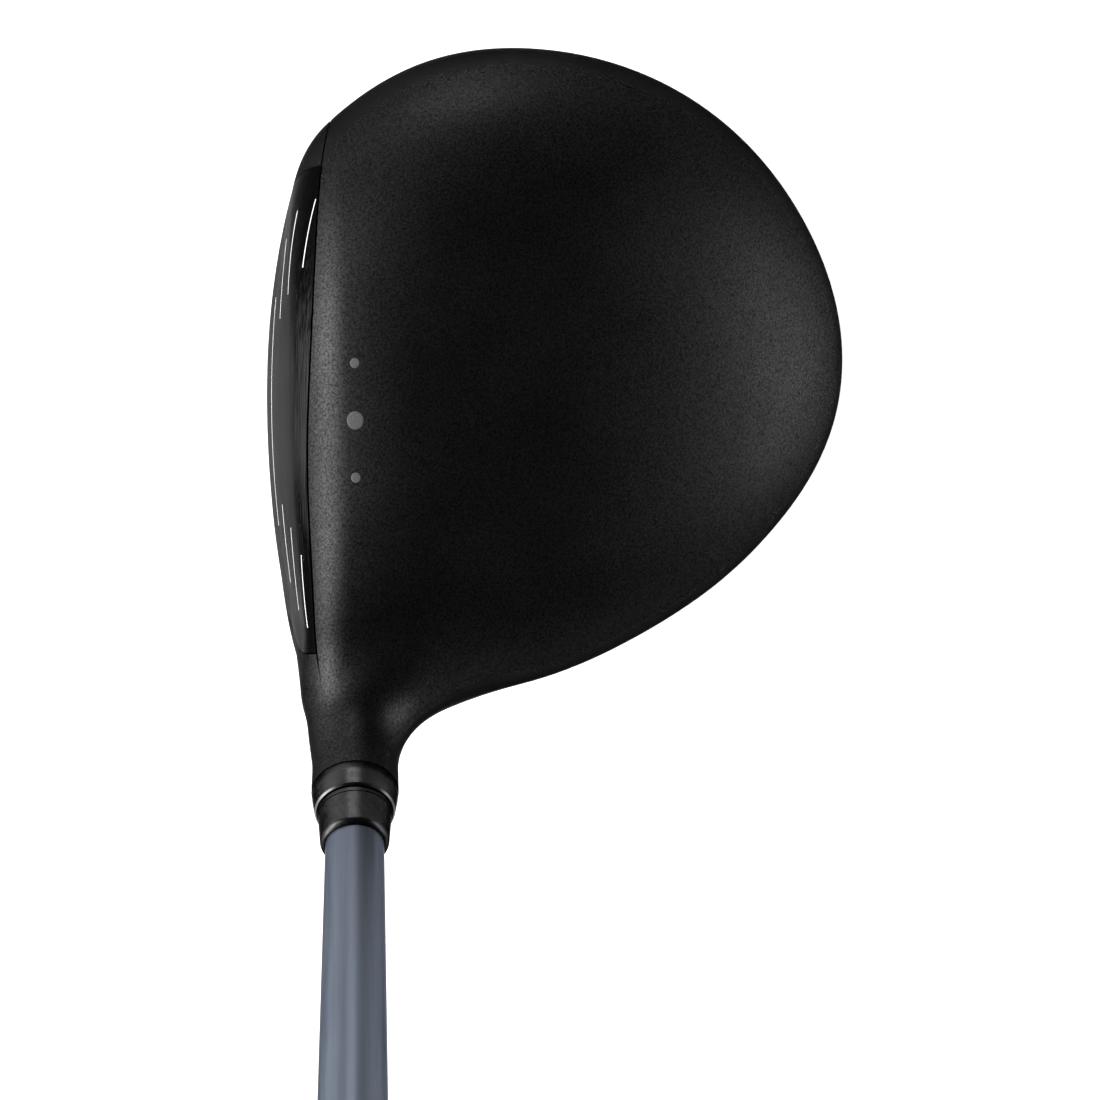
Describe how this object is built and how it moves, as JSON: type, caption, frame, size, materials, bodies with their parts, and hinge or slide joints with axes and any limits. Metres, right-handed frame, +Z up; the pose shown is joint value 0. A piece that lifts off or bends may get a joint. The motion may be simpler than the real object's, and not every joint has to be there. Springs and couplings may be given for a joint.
{
  "type": "golf driver",
  "caption": "Right-handed golf driver: hollow wood head on an adjustable hosel adapter, graphite shaft and rubber grip; the head turns and pulls off, screws and rear weight undo.",
  "frame": {"origin": "the point of the ground where the shaft axis meets it, with the club at address", "axes": "+Z up, the face looks to -Y, the toe points to -X and the shaft rises towards +X in the plane y = 0"},
  "size_m": [0.6996, 0.1144, 0.9854],
  "materials": {
    "crown_paint": "satin",
    "body_paint": "satin",
    "dot_paint": "matte",
    "face_metal": "brushed",
    "score_white": "matte",
    "sole_composite": "gloss",
    "bare_casting": "matte",
    "adapter_metal": "satin",
    "ring_metal": "satin",
    "ferrule_plastic": "gloss",
    "shaft_lacquer": "gloss",
    "grip_rubber": "matte",
    "tape_paper": "matte",
    "plug_foam": "matte",
    "weight_metal": "brushed",
    "screw_steel": "satin",
    "washer_plastic": "matte"
  },
  "bodies": {
    "club_shaft": {"grip": "grip_rubber", "grip_cap": "grip_rubber", "grip_tape": "tape_paper", "shaft": "shaft_lacquer", "tip_plug": "plug_foam", "ferrule": "ferrule_plastic", "shaft_sleeve": "adapter_metal"},
    "adapter_ring": {"tuning_ring": "ring_metal"},
    "head": {"hosel_tube": "crown_paint", "body_shell": "body_paint", "crown_shell": "crown_paint", "alignment_dots": "dot_paint", "face_insert": "face_metal", "face_frame": "face_metal", "score_paint": "score_white", "sole_plate": "sole_composite", "sole_ribs": "bare_casting", "weight_port": "bare_casting"},
    "screw_collar": {"screw_washer": "washer_plastic"},
    "screw": {"hosel_screw": "screw_steel"},
    "weight_collar": {"weight_washer": "washer_plastic"},
    "weight": {"rear_weight": "weight_metal"}
  },
  "joints": [
    {"name": "adapter_turn", "type": "hinge", "parent": "club_shaft", "child": "adapter_ring", "pos_m": [0.0376, 0, 0.06257], "axis": [0.515, 0, 0.8572], "range_deg": [-180, 180]},
    {"name": "head_pull", "type": "slide", "parent": "adapter_ring", "child": "head", "axis": [-0.515, 0, -0.8572], "range_m": [0, 0.03]},
    {"name": "screw_travel", "type": "slide", "parent": "head", "child": "screw_collar", "axis": [-0.515, 0, -0.8572], "range_m": [0, 0.0068]},
    {"name": "hosel_screw_turn", "type": "hinge", "parent": "screw_collar", "child": "screw", "pos_m": [0.01957, 0, 0.03257], "axis": [-0.515, 0, -0.8572], "range_deg": [0, 3062]},
    {"name": "weight_travel", "type": "slide", "parent": "head", "child": "weight_collar", "axis": [0, 0.3746, -0.9272], "range_m": [0, 0.005]},
    {"name": "rear_weight_turn", "type": "hinge", "parent": "weight_collar", "child": "weight", "pos_m": [-0.038, 0.074, 0.0105], "axis": [0, 0.3746, -0.9272], "range_deg": [0, 1802]}
  ],
  "couplings": [
    {"joint": "hosel_screw_turn", "follows": "screw_travel", "rad_per_m": 7854},
    {"joint": "rear_weight_turn", "follows": "weight_travel", "rad_per_m": 6283.2}
  ]
}
